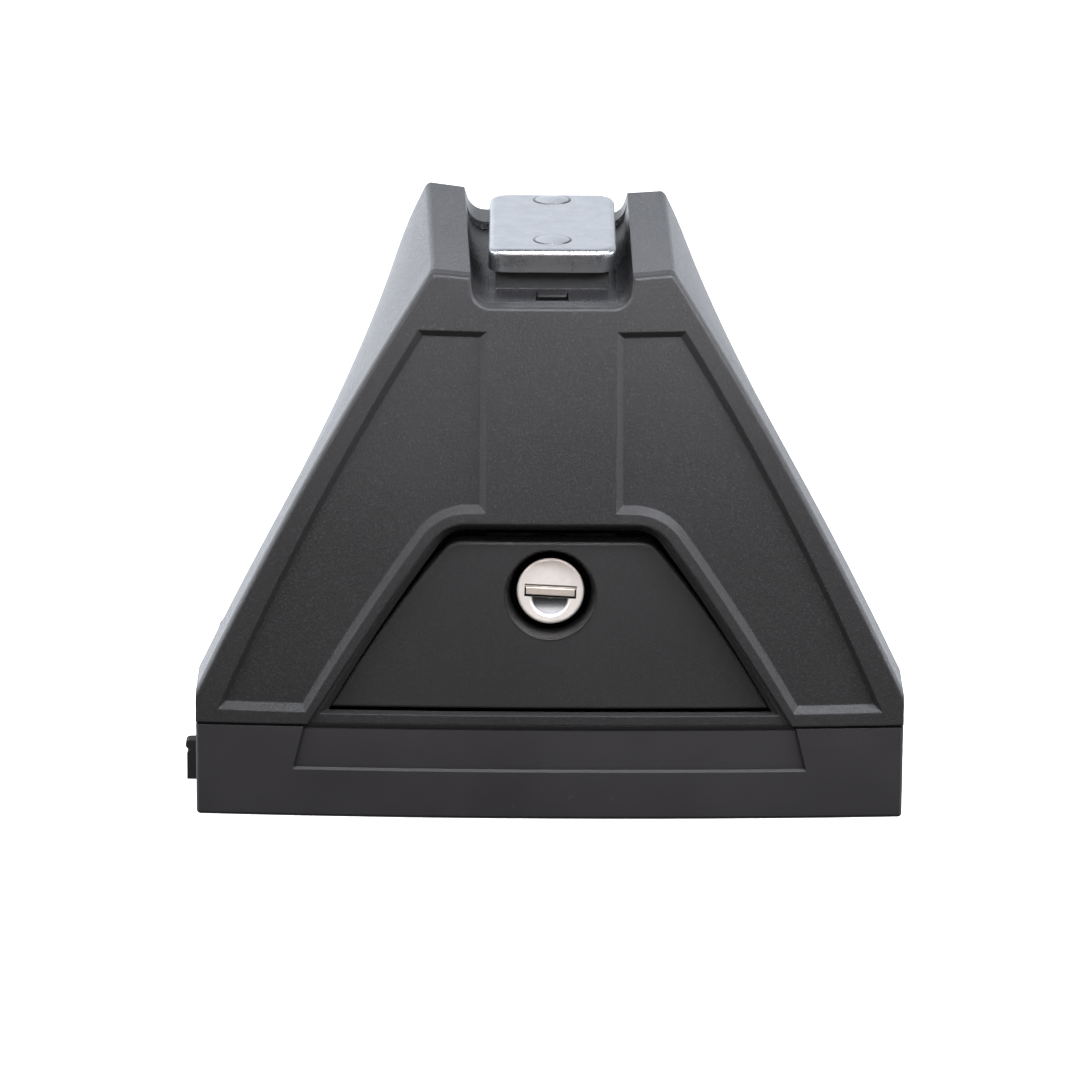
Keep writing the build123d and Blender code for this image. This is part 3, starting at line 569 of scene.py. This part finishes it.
def satin_nickel(name, dark, light, matt, polished_and_shaded_where=None, shade_dark_where=None):
    material, tree = start_material(name)
    place = add(tree, "ShaderNodeTexCoord").outputs["Object"]
    haze = add(
        tree,
        "ShaderNodeTexNoise",
        {"Vector": place, "Scale": per_metre(nickel_haze_mm), "Detail": 4.0, "Roughness": 0.6},
    )
    coat = add(tree, "ShaderNodeValToRGB", {"Fac": haze.outputs["Fac"]})
    set_stops(coat, ((coat_low, dark), (coat_high, light)))
    gloss = add(
        tree,
        "ShaderNodeMapRange",
        {
            "Value": haze.outputs["Fac"],
            "From Min": noise_low,
            "From Max": noise_high,
            "To Min": matt + nickel_matt_spread,
            "To Max": matt - nickel_matt_spread,
        },
    )
    colour, roughness = coat.outputs["Color"], gloss.outputs["Result"]
    # Painted shade: the dimple is given a darker grey, as well as a smoother polish.
    if polished_and_shaded_where:
        polished_shaded = polished_and_shaded_where(tree, place)
        dimple_shade = {"Factor": polished_shaded, "A": colour, "B": linear(dimple_shade_colour)}
        colour = add(tree, "ShaderNodeMix", dimple_shade, data_type="RGBA").outputs["Result"]
        smooth = {"Value": polished_shaded, "To Min": roughness, "To Max": dimple_matt}
        roughness = add(tree, "ShaderNodeMapRange", smooth).outputs["Result"]
    # Painted shade: the walls of the key slot and the gap round the plug are darkened.
    if shade_dark_where:
        slot_shade = {"Factor": shade_dark_where(tree, place), "A": colour, "B": linear(slot_shade_colour)}
        colour = add(tree, "ShaderNodeMix", slot_shade, data_type="RGBA").outputs["Result"]
    edge = add(tree, "ShaderNodeBevel", {"Radius": metres(nickel_edge_mm)}, samples=4)
    shader = add(
        tree,
        "ShaderNodeBsdfPrincipled",
        {
            "Base Color": colour,
            "Metallic": 1.0,
            "Roughness": roughness,
            "Normal": edge.outputs["Normal"],
        },
    )
    add(tree, "ShaderNodeOutputMaterial", {"Surface": shader.outputs["BSDF"]})
    return material


plug_edge = 0.0006
face_y = plug_low[1] + (plug_radius - plug_edge) * math.sin(front_lean)
face_centre = (lock_x, face_y, lock_z)
inward = (0.0, math.cos(front_lean), -math.sin(front_lean))
outward = (0.0, -math.cos(front_lean), math.sin(front_lean))


# How far a point lies behind the plug's face, square to it
def face_depth(tree, place):
    offset = add(tree, "ShaderNodeVectorMath", {0: place, 1: face_centre}, operation="SUBTRACT")
    return add(
        tree,
        "ShaderNodeVectorMath",
        {0: offset.outputs["Vector"], 1: inward},
        operation="DOT_PRODUCT",
    ).outputs["Value"]


dimple_start, dimple_full = 0.00008, 0.0002


# The half-moon dimple: all of the plug that lies behind its face
def below_face(tree, place):
    mask = {"Value": face_depth(tree, place), "From Min": dimple_start, "From Max": dimple_full}
    return add(tree, "ShaderNodeMapRange", mask).outputs["Result"]


plug_turned = math.radians(2.8)
slot_half = (0.00433, 0.0040, 0.00103)
gap_start, gap_full = 0.0009, 0.0012


# The key slot, which stands a little off level, and the gap round the plug, painted dark as shade
def slot_and_gap(tree, place):
    upright = {"Vector": place, "Center": face_centre, "Axis": outward, "Angle": plug_turned}
    square = add(tree, "ShaderNodeVectorRotate", upright).outputs["Vector"]
    low = [a - b for a, b in zip(face_centre, slot_half)]
    high = [a + b for a, b in zip(face_centre, slot_half)]
    slot = inside_block(tree, square, low, high)
    mask = {"Value": face_depth(tree, place), "From Min": gap_start, "From Max": gap_full}
    gap = add(tree, "ShaderNodeMapRange", mask).outputs["Result"]
    return add(tree, "ShaderNodeMath", {0: slot, 1: gap}, operation="MAXIMUM").outputs["Value"]


plug_nickel = satin_nickel(
    "satin_nickel_on_brass",
    dark="#efe8e1",
    light="#f7f1eb",
    matt=0.58,
    polished_and_shaded_where=below_face,
    shade_dark_where=slot_and_gap,
)
shutter_nickel = satin_nickel("nickel_plated_strip", dark="#d2c6bb", light="#dfd4ca", matt=0.55)
dress(plug_nickel, "lock_plug")
dress(shutter_nickel, "key_shutter", "shutter_pin")


# Studio floor: matt white paper that runs out of the picture on every side.
# It glows a little and throws no light on the object, so the ground is plain white and shows no shadow.
floor_reach = 6.0
paper_matt = 0.9
paper_glow = 0.7

floor_mesh = bpy.data.meshes.new("studio_floor")
corners = [(-floor_reach, -floor_reach, 0), (floor_reach, -floor_reach, 0)]
corners += [(floor_reach, floor_reach, 0), (-floor_reach, floor_reach, 0)]
floor_mesh.from_pydata(corners, [], [(0, 1, 2, 3)])
floor = bpy.data.objects.new("studio_floor", floor_mesh)
bpy.context.scene.collection.objects.link(floor)
paper, tree = start_material("white_studio_paper")
shader = add(
    tree,
    "ShaderNodeBsdfPrincipled",
    {
        "Base Color": linear("#f4f4f4"),
        "Roughness": paper_matt,
        "Emission Color": linear("#ffffff"),
        "Emission Strength": paper_glow,
    },
)
add(tree, "ShaderNodeOutputMaterial", {"Surface": shader.outputs["BSDF"]})
floor_mesh.materials.append(paper)
floor.visible_glossy = False
floor.visible_diffuse = False


# Studio room: a white wall behind the object, brighter low down and on the left, and dark in front.
# The tower's flanks and the top of the T-plate mirror it, and turn pale.

# Where the wall starts and ends, as parts of a direction of length 1, and how bright it is there
wall_foot, wall_rise = -0.12, 0.02
foot_glow, wall_glow = 1.9, 1.05
wall_near, wall_far = -0.1, 0.5
near_glow = 0.02
wall_half_width = 0.4
left_glow, right_glow = 1.22, 0.72

world = bpy.data.worlds.new("studio_room")
bpy.context.scene.world = world
world.use_nodes = True
tree = world.node_tree
tree.nodes.clear()
direction = add(tree, "ShaderNodeTexCoord").outputs["Generated"]
split = add(tree, "ShaderNodeSeparateXYZ", {"Vector": direction})
height = add(
    tree,
    "ShaderNodeMapRange",
    {
        "Value": split.outputs["Z"],
        "From Min": wall_foot,
        "From Max": wall_rise,
        "To Min": foot_glow,
        "To Max": wall_glow,
    },
)
depth = add(
    tree,
    "ShaderNodeMapRange",
    {"Value": split.outputs["Y"], "From Min": wall_near, "From Max": wall_far, "To Min": near_glow},
)
side = add(
    tree,
    "ShaderNodeMapRange",
    {
        "Value": split.outputs["X"],
        "From Min": -wall_half_width,
        "From Max": wall_half_width,
        "To Min": left_glow,
        "To Max": right_glow,
    },
)
wall = add(
    tree,
    "ShaderNodeMath",
    {0: height.outputs["Result"], 1: side.outputs["Result"]},
    operation="MULTIPLY",
)
glow = add(
    tree,
    "ShaderNodeMath",
    {0: wall.outputs["Value"], 1: depth.outputs["Result"]},
    operation="MULTIPLY",
)
room = add(tree, "ShaderNodeBackground", {"Color": linear("#f2f7ff"), "Strength": glow.outputs["Value"]})
add(tree, "ShaderNodeOutputWorld", {"Surface": room.outputs["Background"]})


# Studio lights: two strips close above the front make the cover paler at its top, and a low warm one
# lights the lock's face. One strip low at each side draws the light lines on the panels' upright sides,
# and a box above and behind whitens the floor. Sizes are in metres and powers in watts.
cool_white = "#f4f8ff"
warm_white = "#fff2ee"


def soft_box(name, place, target, size, power, tint=cool_white):
    light = bpy.data.lights.new(name, "AREA")
    light.shape = "RECTANGLE"
    light.size, light.size_y = size
    light.energy = power
    light.color = linear(tint)[:3]
    holder = bpy.data.objects.new(name, light)
    bpy.context.scene.collection.objects.link(holder)
    holder.location = place
    holder.rotation_mode = "QUATERNION"
    holder.rotation_quaternion = (Vector(target) - Vector(place)).to_track_quat("-Z", "Y")
    holder.visible_camera = False
    return holder


cover_middle = (0.0, -0.025, 0.07)
lock_side = (0.0, -0.02, 0.06)
panel_side = (0.0, -0.03, 0.08)
floor_behind = (0.0, 0.45, 0.0)
soft_box("soft_box_wide", (0.0, -0.104, 0.164), cover_middle, size=(0.7, 0.035), power=1.3)
soft_box("soft_box_front", (0.05, -0.104, 0.164), cover_middle, size=(0.2, 0.035), power=0.42)
soft_box("soft_box_low", (0.0, -0.20, 0.12), lock_side, size=(0.6, 0.05), power=0.32, tint=warm_white)
soft_box("soft_box_left", (-0.42, 0.0, 0.05), panel_side, size=(0.25, 0.08), power=1.8)
soft_box("soft_box_right", (0.42, 0.0, 0.05), panel_side, size=(0.25, 0.08), power=1.8)
overhead = soft_box("soft_box_overhead", (0.0, 0.45, 0.70), floor_behind, size=(0.5, 0.5), power=4.0)
overhead.visible_glossy = False


# Camera: a long lens a little above the object, turned by a third of a degree as the photograph is.
# Its focal length was found in pixels of the photograph, which is 1065 pixels wide.
elevation = math.radians(17.5)
azimuth = math.radians(-0.1)
roll = math.radians(0.327)
distance = 1.25
target = Vector((-0.00305, 0.0, 0.04138))
sensor_mm = 36.0
photo_px = 1065
focal_px = 7259.45

back = Vector(
    (
        math.sin(azimuth) * math.cos(elevation),
        -math.cos(azimuth) * math.cos(elevation),
        math.sin(elevation),
    )
)
level = Vector((math.cos(azimuth), math.sin(azimuth), 0.0))
upright = back.cross(level)
right = level * math.cos(roll) + upright * math.sin(roll)
up = upright * math.cos(roll) - level * math.sin(roll)
lens = bpy.data.cameras.new("camera")
lens.sensor_width = sensor_mm
lens.lens = focal_px / photo_px * sensor_mm
lens.clip_start = 0.05
lens.clip_end = 50.0
camera = bpy.data.objects.new("camera", lens)
bpy.context.scene.collection.objects.link(camera)
turn = Matrix((right, up, back)).transposed().to_4x4()
camera.matrix_world = Matrix.Translation(target + back * distance) @ turn
bpy.context.scene.camera = camera
bpy.context.scene.view_settings.view_transform = "Standard"
